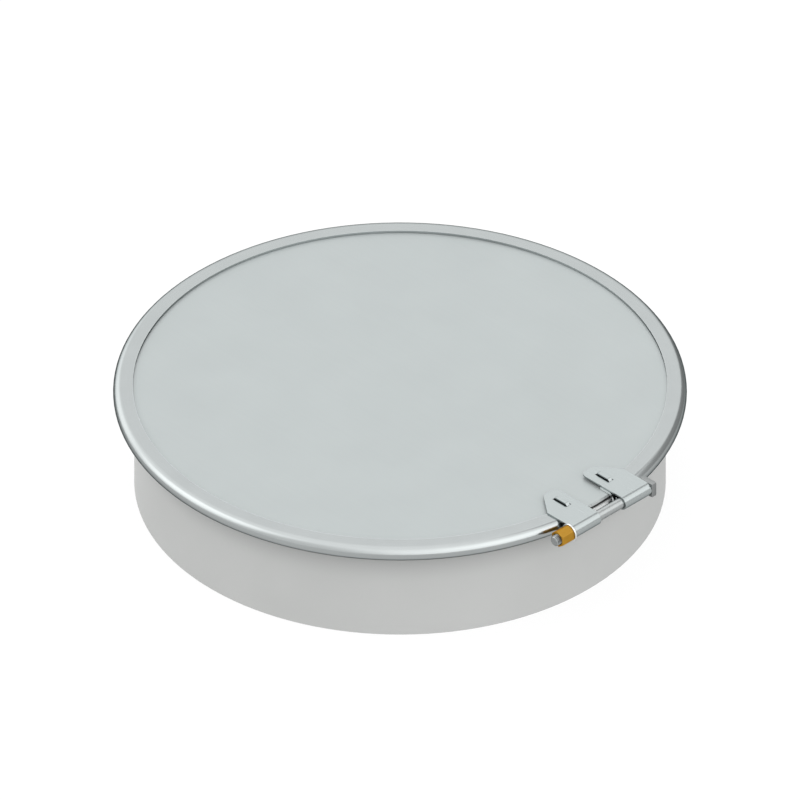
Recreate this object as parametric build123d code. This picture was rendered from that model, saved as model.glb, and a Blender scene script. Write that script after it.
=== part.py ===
from build123d import *
import os
from math import cos, radians, sin

# A round manway for a tank, closed by a flat lid and a split clamp ring.
# Millimetres. +Z is up along the collar's axis, and the origin is the centre of the collar's
# bottom edge. The ring's two ends and their clamp bolt are at +X; the bolt runs along Y, with
# its head at +Y and its nut at -Y.

# ---- driving dimensions -------------------------------------------------------------------

# weld collar: a rolled tube whose top is turned out into a flat rim
collar_outer_radius = 228.6
collar_wall = 3.0
collar_height = 93.2
rim_width = 11.4
rim_thickness = 3.0
rim_inner_rounding = 1.5
rim_root_fillet = 2.5
collar_edge_chamfer = 0.5

# gasket and lid, both as wide as the rim
gasket_thickness = 3.0
gasket_width = 11.5
gasket_setback = 1.0
lid_thickness = 3.2
lid_edge_rounding = 0.6

# clamp ring: sheet rolled to a C with flat flanges and a half-round wall
ring_sheet = 1.9
ring_end_gap = 27.6
ring_to_stack_clearance = 0.3
ring_to_collar_clearance = 1.3
ring_to_root_clearance = 0.4

# lugs: sheet plates on the ring's top flange, rolled down into a barrel for the bolt
lug_sheet = 1.5
lug_width = 31.4
lug_setback = 1.2
lug_overreach = 25.6
lug_outer_cut_along = 16.2
lug_outer_cut_in = 21.4
lug_inner_rounding = 6.0
lug_roll_degrees = 300.0
barrel_clearance = 0.29

# a strip of each lug is pushed up into a bridge with steep ends, between two slits
bridge_width = 3.8
bridge_length = 16.8
bridge_rise = 2.2
bridge_ramp = 1.6
bridge_foot = 0.8
bridge_bend_radius = 1.2
bridge_slit = 1.1
bridge_from_inner_side = 10.8
bridge_from_inboard_edge = 18.3

# clamp bolt, nut and washer: 3/8 inch, 16 threads to the inch
bolt_diameter = 9.525
bolt_length = 112.7
bolt_tip_chamfer = 0.9
head_across_flats = 13.4
head_height = 5.3
head_turn = 45.0
nut_across_flats = 13.5
nut_length = 13.8
nut_turn = 37.4
corner_chamfer = 0.9
thread_clearance = 0.05
washer_outer_diameter = 16.4
washer_thickness = 1.5
washer_clearance = 0.10
seat_gap = 0.05

# ---- sizes that follow --------------------------------------------------------------------

collar_inner_radius = collar_outer_radius - collar_wall
rim_outer_radius = collar_outer_radius + rim_width
rim_underside = collar_height - rim_thickness
lid_underside = collar_height + gasket_thickness
lid_top = lid_underside + lid_thickness

channel_bottom = rim_underside - ring_to_stack_clearance
channel_top = lid_top + ring_to_stack_clearance
channel_bend_radius = (channel_top - channel_bottom) / 2
ring_flange_inner_radius = collar_outer_radius + ring_to_collar_clearance
ring_hook_inner_radius = collar_outer_radius + rim_root_fillet + ring_to_root_clearance
ring_outer_radius = rim_outer_radius + channel_bend_radius + ring_sheet
ring_top = channel_top + ring_sheet

bolt_radius = bolt_diameter / 2
barrel_bore_radius = bolt_radius + barrel_clearance
barrel_outer_radius = barrel_bore_radius + lug_sheet
barrel_x = ring_outer_radius + barrel_outer_radius
barrel_z = ring_top + lug_sheet - barrel_outer_radius

lug_inner_side = ring_end_gap / 2 + lug_setback
lug_outer_side = lug_inner_side + lug_width
lug_inboard_edge = ring_flange_inner_radius - lug_overreach
bridge_middle_y = lug_inner_side + bridge_from_inner_side
bridge_middle_x = lug_inboard_edge + bridge_from_inboard_edge

washer_inner_side = lug_outer_side + seat_gap
washer_outer_side = washer_inner_side + washer_thickness
nut_inner_side = washer_outer_side + seat_gap
head_seat = lug_outer_side + seat_gap


# ---- helpers ------------------------------------------------------------------------------

def turned(section):
    """Solid of revolution about the collar's axis from a section in the XZ plane."""
    return revolve(section, Axis.Z, 360)


def rolled_sheet(path, thickness):
    """Section of a sheet that follows the path at its mid-thickness, in the XZ plane."""
    return Plane.XZ * trace(path, line_width=thickness)


def across_bolt(y, turn=0.0):
    """Plane square to the bolt's axis at y, facing +Y and turned about that axis."""
    along = (cos(radians(turn)), 0, sin(radians(turn)))
    return Plane(origin=(barrel_x, y, barrel_z), x_dir=along, z_dir=(0, 1, 0))


def rod(radius, start, end):
    """Round bar on the bolt's axis, from start to end along Y."""
    return across_bolt(start) * extrude(Circle(radius), end - start)


def flat_sided_bar(sides, across_flats, start, end, turn, chamfered_ends):
    """Bar with flat sides on the bolt's axis, its corners taken off at the chosen ends."""
    length = end - start
    bar = extrude(RegularPolygon(across_flats / 2, sides, major_radius=False), length)
    corner_radius = across_flats / 2 / cos(radians(180 / sides))
    blank = extrude(Circle(corner_radius), length)
    rims = blank.edges().filter_by(GeomType.CIRCLE).sort_by(Axis.Z)
    chosen = [rims[end_index] for end_index in chamfered_ends]
    return across_bolt(start, turn) * (bar & chamfer(chosen, corner_chamfer, corner_chamfer / 2))


# ---- pieces -------------------------------------------------------------------------------

def make_weld_collar():
    outline = Polyline(
        (collar_inner_radius, 0),
        (collar_outer_radius, 0),
        (collar_outer_radius, rim_underside),
        (rim_outer_radius, rim_underside),
        (rim_outer_radius, collar_height),
        (collar_inner_radius, collar_height),
        close=True,
    )
    section = make_face(outline)
    corners = section.vertices()
    root = corners.sort_by_distance((collar_outer_radius, rim_underside))[0]
    section = fillet(root, rim_root_fillet)
    inner_top = section.vertices().sort_by_distance((collar_inner_radius, collar_height))[0]
    section = fillet(inner_top, rim_inner_rounding)
    outer_bottom = section.vertices().sort_by_distance((collar_outer_radius, 0))[0]
    section = chamfer(outer_bottom, collar_edge_chamfer)
    return turned(Plane.XZ * section)


def make_gasket():
    outer_radius = rim_outer_radius - gasket_setback
    ring = Circle(outer_radius) - Circle(outer_radius - gasket_width)
    return Pos(0, 0, collar_height) * extrude(ring, gasket_thickness)


def make_lid():
    disc = extrude(Circle(rim_outer_radius), lid_thickness)
    disc = fillet(disc.edges(), lid_edge_rounding)
    return Pos(0, 0, lid_underside) * disc


def make_clamp_ring():
    middle_of_sheet = ring_sheet / 2
    bend_radius = channel_bend_radius + middle_of_sheet
    channel_middle = (channel_bottom + channel_top) / 2
    upper = channel_middle + bend_radius
    lower = channel_middle - bend_radius
    top_flange = Line((ring_flange_inner_radius, upper), (rim_outer_radius, upper))
    wall = CenterArc((rim_outer_radius, channel_middle), bend_radius, 90, -180)
    bottom_flange = Line((rim_outer_radius, lower), (ring_hook_inner_radius, lower))
    band = turned(rolled_sheet([top_flange, wall, bottom_flange], ring_sheet))
    gap_reach = 2 * ring_outer_radius
    gap = Pos(ring_outer_radius, 0, channel_middle) * Box(gap_reach, ring_end_gap, gap_reach)
    return band - gap


def make_bridge():
    """Raised strip of the lug, standing over the slot it was pushed out of."""
    half_length = bridge_length / 2
    foot_end = half_length - bridge_foot
    flat_end = foot_end - bridge_ramp
    side_view = FilletPolyline(
        (-half_length, 0),
        (-foot_end, 0),
        (-flat_end, bridge_rise),
        (flat_end, bridge_rise),
        (foot_end, 0),
        (half_length, 0),
        radius=bridge_bend_radius,
    )
    strip = extrude(rolled_sheet(side_view, lug_sheet), bridge_width / 2, both=True)
    return Pos(bridge_middle_x, -bridge_middle_y, ring_top + lug_sheet / 2) * strip


def make_nut_side_lug():
    sheet_middle = ring_top + lug_sheet / 2
    plate = Line((lug_inboard_edge, sheet_middle), (barrel_x, sheet_middle))
    roll = CenterArc((barrel_x, barrel_z), barrel_outer_radius - lug_sheet / 2, 90, -lug_roll_degrees)
    strip = extrude(rolled_sheet([plate, roll], lug_sheet), lug_width)
    strip = Pos(0, -lug_inner_side, 0) * strip

    outboard = barrel_x + barrel_outer_radius
    outline = make_face(
        Polyline(
            (lug_inboard_edge, -lug_inner_side),
            (outboard, -lug_inner_side),
            (outboard, -lug_outer_side),
            (lug_inboard_edge + lug_outer_cut_in, -lug_outer_side),
            (lug_inboard_edge, -lug_outer_side + lug_outer_cut_along),
            close=True,
        )
    )
    inner_corner = outline.vertices().sort_by_distance((lug_inboard_edge, -lug_inner_side))[0]
    outline = fillet(inner_corner, lug_inner_rounding)
    lug = strip & extrude(outline, 2 * ring_top)

    slot_width = bridge_width + 2 * bridge_slit
    slot = Pos(bridge_middle_x, -bridge_middle_y, sheet_middle) * Box(bridge_length, slot_width, 2 * lug_sheet)
    return (lug - slot) + make_bridge()


def make_clamp_bolt():
    tip = head_seat - bolt_length
    shank = rod(bolt_radius, tip, head_seat)
    tip_edge = shank.edges().filter_by(GeomType.CIRCLE).sort_by(Axis.Y)[0]
    shank = chamfer(tip_edge, bolt_tip_chamfer)
    head_end = head_seat + head_height
    return shank + flat_sided_bar(4, head_across_flats, head_seat, head_end, head_turn, [0, -1])


def make_washer():
    ring = Circle(washer_outer_diameter / 2) - Circle(bolt_radius + washer_clearance)
    return across_bolt(-washer_outer_side) * extrude(ring, washer_thickness)


def make_nut():
    start = -nut_inner_side - nut_length
    body = flat_sided_bar(6, nut_across_flats, start, -nut_inner_side, nut_turn, [0, -1])
    return body - rod(bolt_radius + thread_clearance, start, -nut_inner_side)


nut_side_lug = make_nut_side_lug()
pieces = {
    "weld_collar": make_weld_collar(),
    "gasket": make_gasket(),
    "lid": make_lid(),
    "clamp_ring": make_clamp_ring(),
    "nut_side_lug": nut_side_lug,
    "head_side_lug": mirror(nut_side_lug, Plane.XZ),
    "clamp_bolt": make_clamp_bolt(),
    "washer": make_washer(),
    "nut": make_nut(),
}

for name, piece in pieces.items():
    export_step(piece, f"parts/{name}.step")
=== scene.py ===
from math import cos, pi, radians, sin

import bmesh
import bpy
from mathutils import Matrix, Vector


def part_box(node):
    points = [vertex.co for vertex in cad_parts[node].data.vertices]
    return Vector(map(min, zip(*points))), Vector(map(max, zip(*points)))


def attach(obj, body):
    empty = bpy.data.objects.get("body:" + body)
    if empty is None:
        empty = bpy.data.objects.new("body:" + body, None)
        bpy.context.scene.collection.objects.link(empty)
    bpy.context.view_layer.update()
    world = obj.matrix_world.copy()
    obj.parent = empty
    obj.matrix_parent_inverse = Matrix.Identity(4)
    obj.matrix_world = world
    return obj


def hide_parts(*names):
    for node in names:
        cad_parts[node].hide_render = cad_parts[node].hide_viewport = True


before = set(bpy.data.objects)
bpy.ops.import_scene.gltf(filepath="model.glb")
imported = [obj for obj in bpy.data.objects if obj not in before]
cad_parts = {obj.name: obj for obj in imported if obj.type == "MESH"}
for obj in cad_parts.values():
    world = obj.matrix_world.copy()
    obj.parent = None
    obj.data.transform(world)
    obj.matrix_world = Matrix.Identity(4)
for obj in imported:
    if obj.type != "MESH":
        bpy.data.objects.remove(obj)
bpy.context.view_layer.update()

MM = 0.001
SAME_POINT = MM / 500
# a face looks along an axis when its normal's share on it is over this
FACING = 0.9


# ---- node trees ---------------------------------------------------------------------------

def linear(hex_colour):
    """sRGB hex value to the linear RGBA that shaders take."""
    channels = [int(hex_colour[i:i + 2], 16) / 255 for i in (0, 2, 4)]
    return [c / 12.92 if c <= 0.04045 else ((c + 0.055) / 1.055) ** 2.4 for c in channels] + [1.0]


def add_node(tree, kind, inputs=None, links=None, **settings):
    """Adds one node: its properties, its socket values, and what is linked to its sockets."""
    node = tree.nodes.new(kind)
    for name, value in settings.items():
        setattr(node, name, value)
    for socket, value in (inputs or {}).items():
        node.inputs[socket].default_value = value
    for socket, source in (links or {}).items():
        output = source.outputs[0] if isinstance(source, bpy.types.Node) else source
        tree.links.new(output, node.inputs[socket])
    return node


def new_material(name):
    """An empty node material: its tree, its Principled shader and an Object coordinate output."""
    material = bpy.data.materials.new(name)
    material.use_nodes = True
    tree = material.node_tree
    tree.nodes.clear()
    shader = add_node(tree, "ShaderNodeBsdfPrincipled")
    add_node(tree, "ShaderNodeOutputMaterial", links={"Surface": shader})
    place = add_node(tree, "ShaderNodeTexCoord")
    return material, tree, shader, place.outputs["Object"]


def per_metre(*sizes_in_mm):
    """Noise scale for features of this size, or one for each axis."""
    scales = [1000.0 / size for size in sizes_in_mm]
    return scales if len(scales) > 1 else scales[0]


def edge_wear_and_highlight(tree, width_in_mm):
    """1 on outer and inner corners of the metal, falling to 0 within the given width; it marks where edges
    are painted lighter, partly as rubbed wear and partly as a painted highlight.
    """
    rounded = add_node(tree, "ShaderNodeBevel", samples=4, inputs={"Radius": width_in_mm * MM})
    true_normal = add_node(tree, "ShaderNodeNewGeometry").outputs["Normal"]
    match = add_node(tree, "ShaderNodeVectorMath", operation="DOT_PRODUCT",
                     links={0: rounded, 1: true_normal})
    return add_node(tree, "ShaderNodeMapRange", links={"Value": match.outputs["Value"]},
                    inputs={"From Min": 0.98, "From Max": 0.75})


def axis_distance(tree, place, centre, axis):
    """Distance in metres from a line through centre along the axis."""
    offset = add_node(tree, "ShaderNodeVectorMath", operation="SUBTRACT", inputs={1: centre},
                      links={0: place})
    across = [0.0 if direction else 1.0 for direction in axis]
    flat = add_node(tree, "ShaderNodeVectorMath", operation="MULTIPLY", inputs={1: across},
                    links={0: offset})
    return add_node(tree, "ShaderNodeVectorMath", operation="LENGTH", links={0: flat}).outputs["Value"]


def finish_metal(tree, shader, colour, roughness, relief, relief_in_mm, edge_tint, metallic=1.0):
    """Links a metal's colour, roughness and relief; edge_tint colours its glancing reflections."""
    shader.inputs["Metallic"].default_value = metallic
    shader.inputs["Specular Tint"].default_value = linear(edge_tint)
    bump = add_node(tree, "ShaderNodeBump", inputs={"Distance": relief_in_mm * MM},
                    links={"Height": relief})
    tree.links.new(colour.outputs[2], shader.inputs["Base Color"])
    tree.links.new(roughness.outputs[0], shader.inputs["Roughness"])
    tree.links.new(bump.outputs["Normal"], shader.inputs["Normal"])


# ---- finishes -----------------------------------------------------------------------------

def cold_rolled_lid_sheet():
    """Cold rolled stainless sheet, pickled: an even silky grey, with its cut edge painted brighter, a painted
    highlight.
    """
    material, tree, shader, place = new_material("cold_rolled_stainless_sheet")
    # rolling lines along X, 70 mm long and 0.8 mm apart, drawn coarser than such sheet has them
    along = add_node(tree, "ShaderNodeMapping", inputs={"Scale": per_metre(70, 0.8, 0.8)},
                     links={"Vector": place})
    lines = add_node(tree, "ShaderNodeTexNoise", inputs={"Scale": 1.0, "Detail": 4.0},
                     links={"Vector": along})
    clouds = add_node(tree, "ShaderNodeTexNoise", inputs={"Scale": per_metre(55), "Detail": 2.0},
                      links={"Vector": place})
    colour = add_node(tree, "ShaderNodeMix", data_type="RGBA", links={0: clouds},
                      inputs={6: linear("949999"), 7: linear("9A9F9F")})
    # the cut edge, on the faces that look sideways, is painted lighter: a painted highlight
    normal = add_node(tree, "ShaderNodeNewGeometry").outputs["Normal"]
    upright = add_node(tree, "ShaderNodeSeparateXYZ", links={"Vector": normal}).outputs["Z"]
    flat = add_node(tree, "ShaderNodeMath", operation="ABSOLUTE", links={0: upright})
    cut_edge_highlight = add_node(tree, "ShaderNodeMapRange", links={"Value": flat},
                        inputs={"From Min": 0.9, "From Max": 0.3})
    colour = add_node(tree, "ShaderNodeMix", data_type="RGBA", links={0: cut_edge_highlight, 6: colour.outputs[2]},
                      inputs={7: linear("B8BCBC")})
    uneven = add_node(tree, "ShaderNodeMath", operation="MULTIPLY_ADD", links={0: clouds},
                      inputs={1: 0.05, 2: 0.33})
    roughness = add_node(tree, "ShaderNodeMath", operation="MULTIPLY_ADD", links={0: lines, 2: uneven},
                         inputs={1: 0.15})
    finish_metal(tree, shader, colour, roughness, lines, 0.0015, "B0B4B4", metallic=0.5)
    return material


def polished_hoop():
    """Stainless strip, roll formed and polished along the hoop: bright, with fine concentric lines."""
    material, tree, shader, place = new_material("polished_roll_formed_stainless")
    # polishing lines run round the ring: noise over radius and height only, 0.5 mm apart
    radius = axis_distance(tree, place, (0, 0, 0), (0, 0, 1))
    height = add_node(tree, "ShaderNodeSeparateXYZ", links={"Vector": place}).outputs["Z"]
    section = add_node(tree, "ShaderNodeCombineXYZ", links={"X": radius, "Y": height})
    lines = add_node(tree, "ShaderNodeTexNoise", inputs={"Scale": per_metre(0.5), "Detail": 2.0},
                     links={"Vector": section})
    clouds = add_node(tree, "ShaderNodeTexNoise", inputs={"Scale": per_metre(30), "Detail": 3.0},
                      links={"Vector": place})
    faint = add_node(tree, "ShaderNodeMath", operation="MULTIPLY", links={0: lines, 1: clouds})
    colour = add_node(tree, "ShaderNodeMix", data_type="RGBA", links={0: faint},
                      inputs={6: linear("9A9E9E"), 7: linear("A8ACAC")})
    # the sheared inner edge, and the two sheared ends between the lugs, are painted pale: painted highlights
    along_bolt = add_node(tree, "ShaderNodeSeparateXYZ", links={"Vector": place}).outputs["Y"]
    from_middle = add_node(tree, "ShaderNodeMath", operation="ABSOLUTE", links={0: along_bolt})
    sheared_end_highlight = add_node(tree, "ShaderNodeMapRange", links={"Value": from_middle},
                           inputs={"From Min": RING_END + 0.5 * MM, "From Max": RING_END + 0.1 * MM})
    clamp_side = add_node(tree, "ShaderNodeSeparateXYZ", links={"Vector": place}).outputs["X"]
    at_clamp = add_node(tree, "ShaderNodeMath", operation="GREATER_THAN", links={0: clamp_side},
                        inputs={1: 0.0})
    sheared_end_highlight = add_node(tree, "ShaderNodeMath", operation="MULTIPLY",
                           links={0: sheared_end_highlight, 1: at_clamp})
    inner_edge_highlight = add_node(tree, "ShaderNodeMapRange", links={"Value": radius},
                          inputs={"From Min": ring_inner_radius + 0.2 * MM,
                                  "From Max": ring_inner_radius + 0.1 * MM})
    for mask, tone in ((sheared_end_highlight, "E4E6E6"), (inner_edge_highlight, "B4B8B8")):
        colour = add_node(tree, "ShaderNodeMix", data_type="RGBA", links={0: mask, 6: colour.outputs[2]},
                          inputs={7: linear(tone)})
    roughness = add_node(tree, "ShaderNodeMath", operation="MULTIPLY_ADD", links={0: faint},
                         inputs={1: 0.15, 2: 0.17})
    finish_metal(tree, shader, colour, roughness, lines, 0.0008, "606464")
    return material


def satin_rolled_tube():
    """Rolled stainless tube, glass beaded all over: matt, light and even, with no reflections to see."""
    material, tree, shader, place = new_material("glass_beaded_stainless")
    # bead dimples about 0.6 mm across, drawn coarser than beading leaves them, under clouds of 60 mm
    dimples = add_node(tree, "ShaderNodeTexNoise", inputs={"Scale": per_metre(0.6), "Detail": 2.0},
                       links={"Vector": place})
    clouds = add_node(tree, "ShaderNodeTexNoise", inputs={"Scale": per_metre(60), "Detail": 3.0},
                      links={"Vector": place})
    both = add_node(tree, "ShaderNodeMath", operation="MULTIPLY", links={0: dimples, 1: clouds})
    colour = add_node(tree, "ShaderNodeMix", data_type="RGBA", links={0: both},
                      inputs={6: linear("A3A4A3"), 7: linear("B1B2B1")})
    roughness = add_node(tree, "ShaderNodeMath", operation="MULTIPLY_ADD", links={0: both},
                         inputs={1: 0.2, 2: 0.54})
    # painted shade: the tube is painted darker towards the rim above it, over its top 40 mm
    height = add_node(tree, "ShaderNodeSeparateXYZ", links={"Vector": place}).outputs["Z"]
    painted_shade_under_rim = add_node(tree, "ShaderNodeMapRange", interpolation_type="SMOOTHSTEP", links={"Value": height},
                         inputs={"From Min": collar_high.z - 40 * MM, "From Max": collar_high.z - 8 * MM,
                                 "To Max": 0.6})
    # the rim's outer edge is painted bright, a painted highlight
    radius = axis_distance(tree, place, (0, 0, 0), (0, 0, 1))
    rim_edge_highlight = add_node(tree, "ShaderNodeMath", operation="GREATER_THAN", links={0: radius},
                        inputs={1: collar_high.x - 1.0 * MM})
    for mask, tone in ((painted_shade_under_rim, "8C8D8C"), (rim_edge_highlight, "D8DADA")):
        colour = add_node(tree, "ShaderNodeMix", data_type="RGBA", links={0: mask, 6: colour.outputs[2]},
                          inputs={7: linear(tone)})
    finish_metal(tree, shader, colour, roughness, dimples, 0.003, "C8CACA", metallic=0.3)
    return material


def pressed_lug_sheet():
    """Blanked and pressed stainless sheet: polished across the bolt, its edges painted lighter, partly as
    rubbed wear and partly as a painted highlight.
    """
    material, tree, shader, place = new_material("pressed_polished_stainless")
    # polishing grain along X, 18 mm long and 0.5 mm apart, with clouds of 14 mm
    along = add_node(tree, "ShaderNodeMapping", inputs={"Scale": per_metre(18, 0.5, 0.5)},
                     links={"Vector": place})
    grain = add_node(tree, "ShaderNodeTexNoise", inputs={"Scale": 1.0, "Detail": 3.0},
                     links={"Vector": along})
    clouds = add_node(tree, "ShaderNodeTexNoise", inputs={"Scale": per_metre(14), "Detail": 3.0},
                      links={"Vector": place})
    colour = add_node(tree, "ShaderNodeMix", data_type="RGBA", links={0: grain},
                      inputs={6: linear("9AA0A0"), 7: linear("A6ABAB")})
    # edges and corners painted lighter: partly rubbed wear, partly a painted highlight
    colour = add_node(tree, "ShaderNodeMix", data_type="RGBA", inputs={7: linear("AEB2B2")},
                      links={0: edge_wear_and_highlight(tree, 0.35), 6: colour.outputs[2]})
    uneven = add_node(tree, "ShaderNodeMath", operation="MULTIPLY_ADD", links={0: clouds},
                      inputs={1: 0.05, 2: 0.13})
    roughness = add_node(tree, "ShaderNodeMath", operation="MULTIPLY_ADD", links={0: grain, 2: uneven},
                         inputs={1: 0.17})
    finish_metal(tree, shader, colour, roughness, grain, 0.001, "8C9090")
    return material


def bolt_and_washer_steel():
    """Turned and thread-rolled stainless: thread roots and forged head painted darker, both painted shade;
    washer painted bright, a painted highlight.
    """
    material, tree, shader, place = new_material("turned_stainless")
    # turning rings along Y, 0.25 mm apart
    along = add_node(tree, "ShaderNodeMapping", inputs={"Scale": per_metre(40, 0.25, 40)},
                     links={"Vector": place})
    rings = add_node(tree, "ShaderNodeTexNoise", inputs={"Scale": 1.0, "Detail": 2.0},
                     links={"Vector": along})
    clouds = add_node(tree, "ShaderNodeTexNoise", inputs={"Scale": per_metre(4), "Detail": 3.0},
                      links={"Vector": place})
    colour = add_node(tree, "ShaderNodeMix", data_type="RGBA", links={0: clouds},
                      inputs={6: linear("979A9A"), 7: linear("A5A8A8")})
    radius = axis_distance(tree, place, (bolt_x, 0, bolt_z), (0, 1, 0))
    root_radius = BOLT_RADIUS - THREAD_DEPTH
    depth = add_node(tree, "ShaderNodeMapRange", links={"Value": radius},
                     inputs={"From Min": BOLT_RADIUS - 0.15 * MM, "From Max": root_radius})
    outside_tip = add_node(tree, "ShaderNodeMath", operation="GREATER_THAN", links={0: radius},
                           inputs={1: root_radius - 0.01 * MM})
    thread_root_shade = add_node(tree, "ShaderNodeMath", operation="MULTIPLY", links={0: depth, 1: outside_tip})
    along_bolt = add_node(tree, "ShaderNodeSeparateXYZ", links={"Vector": place}).outputs["Y"]
    in_head = add_node(tree, "ShaderNodeMath", operation="GREATER_THAN", links={0: along_bolt},
                       inputs={1: lug_high.y + 0.6 * SEAT_GAP})
    round_bolt = add_node(tree, "ShaderNodeMath", operation="GREATER_THAN", links={0: radius},
                          inputs={1: BOLT_RADIUS + 0.05 * MM})
    washer_highlight = add_node(tree, "ShaderNodeMath", operation="SUBTRACT", use_clamp=True,
                         links={0: round_bolt, 1: in_head})
    # the thread's roots and the head are painted darker, painted shade; the washer is painted bright, a
    # painted highlight
    for mask, tone in ((thread_root_shade, "8C8E8E"), (in_head, "848686"), (washer_highlight, "D8DCDC")):
        colour = add_node(tree, "ShaderNodeMix", data_type="RGBA", links={0: mask, 6: colour.outputs[2]},
                          inputs={7: linear(tone)})
    uneven = add_node(tree, "ShaderNodeMath", operation="MULTIPLY_ADD", links={0: clouds},
                      inputs={1: 0.06, 2: 0.15})
    roughness = add_node(tree, "ShaderNodeMath", operation="MULTIPLY_ADD", links={0: rings, 2: uneven},
                         inputs={1: 0.2})
    finish_metal(tree, shader, colour, roughness, rings, 0.0015, "8C9090")
    return material


def drawn_brass():
    """Brass cut from drawn hexagon bar: warm yellow, lines along the bar, painted dark in its countersunk
    recesses as painted shade, and painted lighter on its edges as wear and a painted highlight.
    """
    material, tree, shader, place = new_material("drawn_brass")
    # drawing lines along Y, 12 mm long and 0.3 mm apart; tarnish in patches of 3 mm
    along = add_node(tree, "ShaderNodeMapping", inputs={"Scale": per_metre(0.3, 12, 0.3)},
                     links={"Vector": place})
    lines = add_node(tree, "ShaderNodeTexNoise", inputs={"Scale": 1.0, "Detail": 2.0},
                     links={"Vector": along})
    tarnish = add_node(tree, "ShaderNodeTexNoise", inputs={"Scale": per_metre(3), "Detail": 4.0},
                       links={"Vector": place})
    colour = add_node(tree, "ShaderNodeMix", data_type="RGBA", links={0: tarnish},
                      inputs={6: linear("9E762C"), 7: linear("AE8437")})
    radius = axis_distance(tree, place, (bolt_x, 0, bolt_z), (0, 1, 0))
    recess = add_node(tree, "ShaderNodeMapRange", links={"Value": radius},
                      inputs={"From Min": BOLT_RADIUS + 0.9 * MM, "From Max": BOLT_RADIUS - 0.2 * MM})
    # edges painted lighter, partly wear and partly a painted highlight; the countersunk recess painted dark,
    # painted shade
    for mask, tone in ((edge_wear_and_highlight(tree, 0.4), "B88E45"), (recess, "3A2810")):
        colour = add_node(tree, "ShaderNodeMix", data_type="RGBA", links={0: mask, 6: colour.outputs[2]},
                          inputs={7: linear(tone)})
    uneven = add_node(tree, "ShaderNodeMath", operation="MULTIPLY_ADD", links={0: tarnish},
                      inputs={1: -0.12, 2: 0.42})
    roughness = add_node(tree, "ShaderNodeMath", operation="MULTIPLY_ADD", links={0: lines, 2: uneven},
                         inputs={1: 0.15})
    finish_metal(tree, shader, colour, roughness, lines, 0.0015, "C09050")
    return material


def moulded_black_rubber():
    """Moulded EPDM rubber: black with a faint grey bloom and a fine mould grain."""
    material, tree, shader, place = new_material("moulded_epdm_rubber")
    # mould grain of 0.4 mm; bloom in patches of 8 mm
    grain = add_node(tree, "ShaderNodeTexNoise", inputs={"Scale": per_metre(0.4), "Detail": 2.0},
                     links={"Vector": place})
    bloom = add_node(tree, "ShaderNodeTexNoise", inputs={"Scale": per_metre(8), "Detail": 4.0},
                     links={"Vector": place})
    colour = add_node(tree, "ShaderNodeMix", data_type="RGBA", links={0: bloom},
                      inputs={6: linear("090909"), 7: linear("181919")})
    roughness = add_node(tree, "ShaderNodeMath", operation="MULTIPLY_ADD", links={0: grain},
                         inputs={1: 0.4, 2: 0.43})
    bump = add_node(tree, "ShaderNodeBump", inputs={"Strength": 0.6, "Distance": 0.02 * MM},
                    links={"Height": grain})
    tree.links.new(colour.outputs[2], shader.inputs["Base Color"])
    tree.links.new(roughness.outputs[0], shader.inputs["Roughness"])
    tree.links.new(bump.outputs["Normal"], shader.inputs["Normal"])
    shader.inputs["IOR"].default_value = 1.5
    return material


# ---- modelling ----------------------------------------------------------------------------

def pick_object(piece):
    bpy.ops.object.select_all(action="DESELECT")
    piece.select_set(True)
    bpy.context.view_layer.objects.active = piece


def start_edit(piece, kind):
    """Edit mode with nothing selected; kind is VERT, EDGE or FACE."""
    pick_object(piece)
    bpy.ops.object.mode_set(mode="EDIT")
    bpy.ops.mesh.select_mode(type=kind)
    bpy.ops.mesh.select_all(action="DESELECT")


def end_edit():
    bpy.ops.object.mode_set(mode="OBJECT")


def select_faces(piece, wanted):
    """Selects the faces whose middle and normal pass the test."""
    mesh = bmesh.from_edit_mesh(piece.data)
    for face in mesh.faces:
        face.select_set(bool(wanted(face.calc_center_median(), face.normal)))
    mesh.select_flush_mode()
    bmesh.update_edit_mesh(piece.data)


def modify(piece, kind, **settings):
    """Adds one modifier and applies it."""
    pick_object(piece)
    modifier = piece.modifiers.new(kind.lower(), kind)
    for name, value in settings.items():
        setattr(modifier, name, value)
    bpy.ops.object.modifier_apply(modifier=modifier.name)


def cut_with(piece, tool, operation):
    """Boolean of the piece with a tool, which is then thrown away."""
    modify(piece, "BOOLEAN", object=tool, operation=operation, solver="EXACT")
    bpy.data.objects.remove(tool)


def settle(piece, name):
    """Puts the piece's place in its mesh and its origin at the frame's."""
    pick_object(piece)
    bpy.ops.object.transform_apply(location=True, rotation=True, scale=True)
    piece.name = name
    piece.data.name = name
    return piece


def smooth(piece, degrees=30.0):
    pick_object(piece)
    bpy.ops.object.shade_smooth_by_angle(angle=radians(degrees))


def bar_on_bolt(name, sides, radius, start, end, turn=0.0):
    """Bar on the bolt's axis from start to end along Y, its corners turned about that axis."""
    bpy.ops.mesh.primitive_cylinder_add(
        vertices=sides, radius=radius, depth=end - start,
        location=(bolt_x, (start + end) / 2, bolt_z), rotation=(pi / 2, radians(turn), 0))
    return settle(bpy.context.object, name)


def narrow_end(piece, end, inwards, step, radius):
    """Chamfers a round bar's end: draws the end face in by step and makes it smaller."""
    start_edit(piece, "FACE")
    towards = 1.0 if end > piece_middle(piece) else -1.0
    select_faces(piece, lambda middle, normal: normal.y * towards > FACING)
    scale = (radius - inwards) / radius
    bpy.ops.mesh.extrude_region_move(TRANSFORM_OT_translate={"value": (0, towards * step, 0)})
    bpy.ops.transform.resize(value=(scale, 1, scale), center_override=(bolt_x, end, bolt_z))
    end_edit()


def piece_middle(piece):
    ys = [corner[1] for corner in piece.bound_box]
    return (min(ys) + max(ys)) / 2


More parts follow.
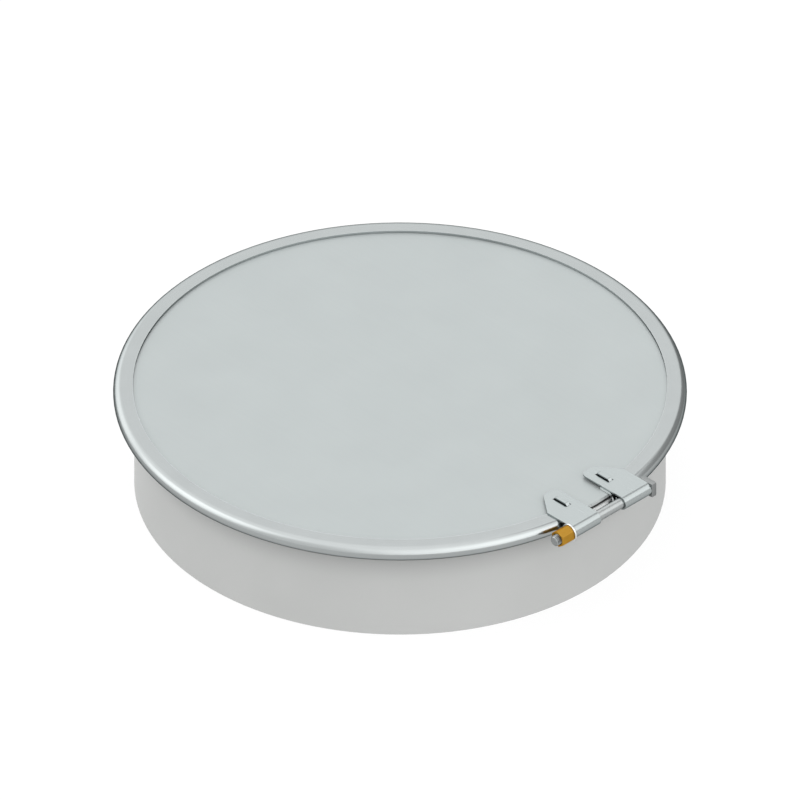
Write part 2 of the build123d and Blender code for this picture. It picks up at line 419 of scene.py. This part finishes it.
def thread_on_bolt(name, start, end, crest_radius, root_radius):
    """Right-hand screw thread on the bolt's axis, longer than start to end by two turns each way."""
    turns = int((end - start) / PITCH) + 4
    bpy.ops.mesh.primitive_plane_add(size=PITCH, location=(0, 0, 0))
    thread = bpy.context.object
    start_edit(thread, "VERT")
    bpy.ops.mesh.select_all(action="SELECT")
    bpy.ops.mesh.merge(type="CENTER")
    bpy.ops.transform.translate(value=(root_radius, 0, 0))
    rise = crest_radius - root_radius
    flank = (PITCH - CREST_FLAT - ROOT_FLAT) / 2
    for step in ((rise, 0, flank), (0, 0, CREST_FLAT), (-rise, 0, flank), (0, 0, ROOT_FLAT)):
        bpy.ops.mesh.extrude_region_move(TRANSFORM_OT_translate={"value": step})
    end_edit()
    modify(thread, "SCREW", axis="Z", angle=2 * pi, screw_offset=PITCH, iterations=turns,
           steps=THREAD_STEPS, render_steps=THREAD_STEPS, use_merge_vertices=True, merge_threshold=SAME_POINT)
    thread.location = (bolt_x, start - 2 * PITCH, bolt_z)
    thread.rotation_euler = (-pi / 2, 0, 0)
    settle(thread, name)
    start_edit(thread, "VERT")
    bpy.ops.mesh.select_all(action="SELECT")
    bpy.ops.mesh.remove_doubles(threshold=SAME_POINT)
    for place, normal in ((start - PAST_END, (0, -1, 0)), (end + PAST_END, (0, 1, 0))):
        bpy.ops.mesh.select_all(action="SELECT")
        bpy.ops.mesh.bisect(plane_co=(bolt_x, place, bolt_z), plane_no=normal, use_fill=True,
                            clear_outer=True)
    bpy.ops.mesh.select_all(action="SELECT")
    bpy.ops.mesh.normals_make_consistent(inside=False)
    end_edit()
    return thread


# half the gap between the clamp ring's two ends
RING_END = 13.8 * MM

# 3/8 inch, 16 threads to the inch
PITCH = 25.4 / 16 * MM
CREST_FLAT = PITCH / 8
ROOT_FLAT = PITCH / 4
THREAD_DEPTH = 0.6134 * PITCH
THREAD_PLAY = 0.07 * MM
THREAD_STEPS = 48
# half a turn and a little, so that no corner of the thread lies on the cut
PAST_END = 0.513 * PITCH
BOLT_RADIUS = 4.7625 * MM
THREAD_LENGTH = 25.4 * MM
# how far the thread runs into the shank, and how much thinner the shank is, so that no faces coincide
THREAD_OVERLAP = 0.2 * MM
SHANK_UNDERCUT = 0.03 * MM
SEAT_GAP = 0.05 * MM

# sides that pass for round on a bar of the bolt's size and on the gasket
ROUND_BAR = 96
ROUND_RING = 256

# chamfers are (inwards, along the axis); turns are degrees about the bolt; edges are rounding widths
TIP_CHAMFER = (1.0 * MM, 0.9 * MM)
HEAD_ACROSS_FLATS = 13.4 * MM
HEAD_TURN = 45.0
HEAD_CORNER_CHAMFER = (0.9 * MM, 0.45 * MM)
HEAD_EDGE = 0.25 * MM
NUT_ACROSS_FLATS = 13.5 * MM
NUT_TURN = -7.4
NUT_CORNER_CHAMFER = (1.1 * MM, 0.6 * MM)
NUT_EDGE = 0.18 * MM
WASHER_PLAY = 0.1 * MM
WASHER_EDGE = 0.22 * MM
GASKET_WIDTH = 11.5 * MM
GASKET_EDGE = 0.9 * MM
SHEET_EDGE = 0.25 * MM

# countersinks of the nut: radius of the mouth, depth, and how far outside the nut each cutter starts
SINK_MOUTH = 1.13 * BOLT_RADIUS
SINK_DEPTH = 1.4 * MM
SINK_START = 0.3 * MM
SINK_SIDES = 64

washer_low, washer_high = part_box("washer")
nut_low, nut_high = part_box("nut")
bolt_low, bolt_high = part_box("clamp_bolt")
_, lug_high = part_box("head_side_lug")
_, collar_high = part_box("weld_collar")
ring_inner_radius = min(vertex.co.xy.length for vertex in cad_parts["clamp_ring"].data.vertices)
bolt_x = (washer_low.x + washer_high.x) / 2
bolt_z = (washer_low.z + washer_high.z) / 2


def make_washer():
    """Stamped washer: a ring whose edges are slightly rounded."""
    radius = (washer_high.x - washer_low.x) / 2
    washer = bar_on_bolt("steel_washer", ROUND_BAR, radius, washer_low.y, washer_high.y)
    start_edit(washer, "FACE")
    select_faces(washer, lambda middle, normal: abs(normal.y) > FACING)
    bpy.ops.mesh.inset(thickness=radius - BOLT_RADIUS - WASHER_PLAY, depth=0.0)
    bpy.ops.mesh.bridge_edge_loops()
    end_edit()
    modify(washer, "BEVEL", width=WASHER_EDGE, segments=3, limit_method="ANGLE", angle_limit=radians(40))
    smooth(washer)
    return washer


def make_nut():
    """Tall hexagon nut: corners turned off at both ends, countersunk bore, real thread."""
    start, end = nut_low.y, nut_high.y
    corner_radius = NUT_ACROSS_FLATS / 2 / cos(radians(30))
    nut = bar_on_bolt("brass_nut", 6, corner_radius, start, end, NUT_TURN)
    modify(nut, "BEVEL", width=NUT_EDGE, segments=2, limit_method="ANGLE", angle_limit=radians(20))
    inwards, step = NUT_CORNER_CHAMFER
    blank = bar_on_bolt("blank", ROUND_BAR, corner_radius, start + step, end - step)
    for place in (start, end):
        narrow_end(blank, place, inwards, step, corner_radius)
    cut_with(nut, blank, "INTERSECT")
    for place, outside in ((start, start - SINK_START), (end, end + SINK_START)):
        sink = bar_on_bolt("sink", SINK_SIDES, SINK_MOUTH, min(place, outside), max(place, outside))
        narrow_end(sink, place, SINK_DEPTH, SINK_DEPTH, SINK_MOUTH)
        cut_with(nut, sink, "DIFFERENCE")
    # the tap starts and ends whole turns from the bolt's tip, so that the two threads mesh
    first_turn = bolt_low.y + int((start - bolt_low.y) / PITCH) * PITCH
    last_turn = first_turn + int((end - first_turn) / PITCH + 1) * PITCH
    tap = thread_on_bolt("tap", first_turn, last_turn, BOLT_RADIUS + THREAD_PLAY,
                         BOLT_RADIUS - THREAD_DEPTH + THREAD_PLAY)
    cut_with(nut, tap, "DIFFERENCE")
    smooth(nut)
    return nut


def make_bolt():
    """Square-headed bolt: turned shank, an inch of thread up to a chamfered tip, forged head."""
    tip = bolt_low.y
    seat = lug_high.y + SEAT_GAP
    thread_end = tip + THREAD_LENGTH
    rod = bar_on_bolt("clamp_screw", ROUND_BAR, BOLT_RADIUS - SHANK_UNDERCUT, thread_end, seat)
    inwards, step = TIP_CHAMFER
    blank = bar_on_bolt("blank", ROUND_BAR, BOLT_RADIUS, tip + step, thread_end + THREAD_OVERLAP)
    narrow_end(blank, tip, inwards, step, BOLT_RADIUS)
    thread = thread_on_bolt("thread", tip, thread_end, BOLT_RADIUS, BOLT_RADIUS - THREAD_DEPTH)
    cut_with(thread, blank, "INTERSECT")
    corner_radius = HEAD_ACROSS_FLATS / 2 / cos(radians(45))
    head = bar_on_bolt("head", 4, corner_radius, seat, bolt_high.y, HEAD_TURN)
    inwards, step = HEAD_CORNER_CHAMFER
    blank = bar_on_bolt("blank", ROUND_BAR, corner_radius, seat + step, bolt_high.y - step)
    for place in (seat, bolt_high.y):
        narrow_end(blank, place, inwards, step, corner_radius)
    cut_with(head, blank, "INTERSECT")
    modify(head, "BEVEL", width=HEAD_EDGE, segments=3, limit_method="ANGLE", angle_limit=radians(20))
    pick_object(rod)
    thread.select_set(True)
    head.select_set(True)
    bpy.ops.object.join()
    smooth(rod)
    return rod


def make_gasket():
    """Moulded flat ring of rubber whose squeezed edges bulge a little."""
    low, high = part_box("gasket")
    outer = high.x
    bpy.ops.mesh.primitive_cylinder_add(vertices=ROUND_RING, radius=outer, depth=high.z - low.z,
                                        location=(0, 0, (low.z + high.z) / 2))
    gasket = settle(bpy.context.object, "rubber_gasket")
    start_edit(gasket, "FACE")
    select_faces(gasket, lambda middle, normal: abs(normal.z) > FACING)
    bpy.ops.mesh.inset(thickness=GASKET_WIDTH, depth=0.0)
    bpy.ops.mesh.bridge_edge_loops()
    end_edit()
    modify(gasket, "BEVEL", width=GASKET_EDGE, segments=5, limit_method="ANGLE", angle_limit=radians(40))
    smooth(gasket)
    return gasket


def soften_sheet(node, name, width):
    """A copy of a sheet metal solid with the cut edges of its sheet rounded."""
    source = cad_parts[node]
    piece = bpy.data.objects.new(name, source.data.copy())
    bpy.context.collection.objects.link(piece)
    piece.matrix_world = source.matrix_world.copy()
    settle(piece, name)
    start_edit(piece, "VERT")
    bpy.ops.mesh.select_all(action="SELECT")
    bpy.ops.mesh.remove_doubles(threshold=SAME_POINT)
    bpy.ops.mesh.select_all(action="SELECT")
    bpy.ops.mesh.dissolve_limited(angle_limit=radians(0.5))
    end_edit()
    modify(piece, "BEVEL", width=width, segments=2, limit_method="ANGLE", angle_limit=radians(50))
    smooth(piece)
    modify(piece, "WEIGHTED_NORMAL", keep_sharp=True)
    return piece


# ---- studio -------------------------------------------------------------------------------

def direction(azimuth, elevation):
    """Unit vector; azimuth in degrees from +X towards +Y."""
    a, e = radians(azimuth), radians(elevation)
    return (cos(a) * cos(e), sin(a) * cos(e), sin(e))


def build_world():
    world = bpy.data.worlds.new("studio")
    bpy.context.scene.world = world
    world.use_nodes = True
    tree = world.node_tree
    tree.nodes.clear()
    ray = add_node(tree, "ShaderNodeTexCoord").outputs["Generated"]
    total = add_node(tree, "ShaderNodeValue")
    total.outputs[0].default_value = WORLD_LEVEL
    for azimuth, elevation, inner, outer, strength in WORLD_LOBES:
        towards = add_node(tree, "ShaderNodeVectorMath", operation="DOT_PRODUCT",
                           inputs={1: direction(azimuth, elevation)}, links={0: ray})
        lobe = add_node(tree, "ShaderNodeMapRange", interpolation_type="SMOOTHSTEP",
                        inputs={"From Min": cos(radians(outer)), "From Max": cos(radians(inner)),
                                "To Max": strength},
                        links={"Value": towards.outputs["Value"]})
        total = add_node(tree, "ShaderNodeMath", operation="ADD", links={0: total, 1: lobe})
    sky = add_node(tree, "ShaderNodeBackground", inputs={"Color": linear("FFFFFF")},
                   links={"Strength": total})
    add_node(tree, "ShaderNodeOutputWorld", links={"Surface": sky})


WORLD_LEVEL = 1.85
# azimuth, elevation, inner and outer half angle, strength
WORLD_LOBES = (
    (-135, 35, 8, 35, 1.1),
    (168, 15, 8, 30, 0.8),
    (5, 38, 8, 32, 0.35),
    (-12, 30, 10, 55, 0.45),
    (-95, 8, 15, 60, -0.55),
    (86, 8, 27, 38, -1.28),
    (97, 55, 4, 15, -1.2),
    (38, 0, 6, 17, -1.1),
    (135, 33, 8, 30, -0.12),
)


def build_floor():
    bpy.ops.mesh.primitive_plane_add(size=FLOOR_SIZE, location=(0, 0, 0))
    floor = bpy.context.object
    floor.name = "floor"
    material, _, shader, _ = new_material("white_paper")
    shader.inputs["Base Color"].default_value = linear("505050")
    shader.inputs["Roughness"].default_value = 1.0
    shader.inputs["Specular IOR Level"].default_value = 0.0
    shader.inputs["Emission Color"].default_value = linear("FFFFFF")
    shader.inputs["Emission Strength"].default_value = 0.90
    floor.data.materials.append(material)


def build_camera():
    """Parallel view from between the nut's side and the clamp, down the cube's diagonal."""
    data = bpy.data.cameras.new("camera")
    data.type = "ORTHO"
    data.ortho_scale = VIEW_WIDTH
    data.clip_end = 20.0
    camera = bpy.data.objects.new("camera", data)
    bpy.context.collection.objects.link(camera)
    towards_camera = Vector(direction(VIEW_AZIMUTH, VIEW_ELEVATION))
    camera.rotation_euler = towards_camera.to_track_quat("Z", "Y").to_euler()
    camera.location = Vector((0, 0, VIEW_HEIGHT)) + VIEW_DISTANCE * towards_camera
    bpy.context.scene.camera = camera


# metres and degrees
FLOOR_SIZE = 12.0
VIEW_WIDTH = 0.688
VIEW_AZIMUTH = -45.0
VIEW_ELEVATION = 35.264
VIEW_HEIGHT = 0.0858
VIEW_DISTANCE = 3.0


# ---- making -------------------------------------------------------------------------------

bpy.ops.object.select_all(action="DESELECT")
bpy.context.scene.view_settings.view_transform = "Standard"

build_world()
build_floor()
build_camera()

finishes = {
    "collar_steel": satin_rolled_tube(),
    "lid_steel": cold_rolled_lid_sheet(),
    "ring_steel": polished_hoop(),
    "lug_steel": pressed_lug_sheet(),
    "bolt_steel": bolt_and_washer_steel(),
    "nut_brass": drawn_brass(),
    "gasket_rubber": moulded_black_rubber(),
}

# new piece, the node that it replaces, body, material slot
new_pieces = (
    (make_washer(), "washer", "washer", "bolt_steel"),
    (make_nut(), "nut", "nut", "nut_brass"),
    (make_bolt(), "clamp_bolt", "bolt", "bolt_steel"),
    (make_gasket(), "gasket", "collar_and_lid", "gasket_rubber"),
    (soften_sheet("nut_side_lug", "lug_on_nut_side", SHEET_EDGE), "nut_side_lug", "ring", "lug_steel"),
    (soften_sheet("head_side_lug", "lug_on_head_side", SHEET_EDGE), "head_side_lug", "ring", "lug_steel"),
)
for piece, node, body, slot in new_pieces:
    piece.data.materials.clear()
    piece.data.materials.append(finishes[slot])
    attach(piece, body)
    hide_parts(node)

kept_nodes = {"weld_collar": "collar_steel", "lid": "lid_steel", "clamp_ring": "ring_steel"}
for node, slot in kept_nodes.items():
    for material_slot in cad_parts[node].material_slots:
        material_slot.material = finishes[slot]
